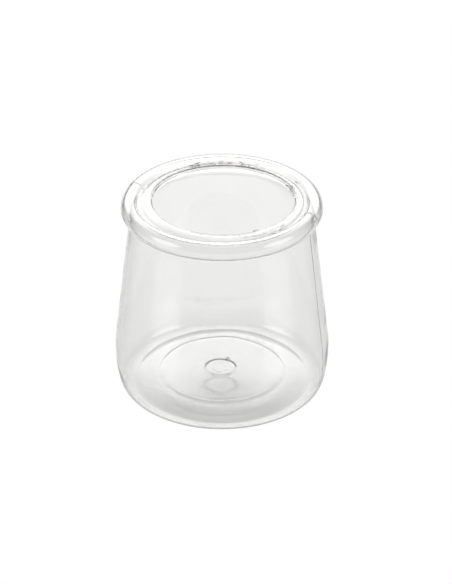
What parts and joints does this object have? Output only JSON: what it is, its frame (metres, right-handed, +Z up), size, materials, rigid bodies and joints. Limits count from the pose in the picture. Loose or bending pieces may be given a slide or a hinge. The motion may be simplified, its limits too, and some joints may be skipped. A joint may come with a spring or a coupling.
{
  "type": "plastic dessert cup",
  "caption": "Empty clear plastic dessert cup in one piece: tapered body, rounded heel, pushed-up base, hollow rim bead and a flange narrowing to a round mouth.",
  "frame": {"origin": "middle of the flat stand ring under the base", "axes": "+Z up along the cup's axis of symmetry, towards the mouth; +X to the right in the picture, +Y away from the camera"},
  "size_m": [0.0726, 0.0726, 0.0694],
  "materials": {
    "clear_plastic": "clear, glossy, see-through"
  },
  "bodies": {
    "root": {"cup": "clear_plastic"}
  },
  "joints": []
}
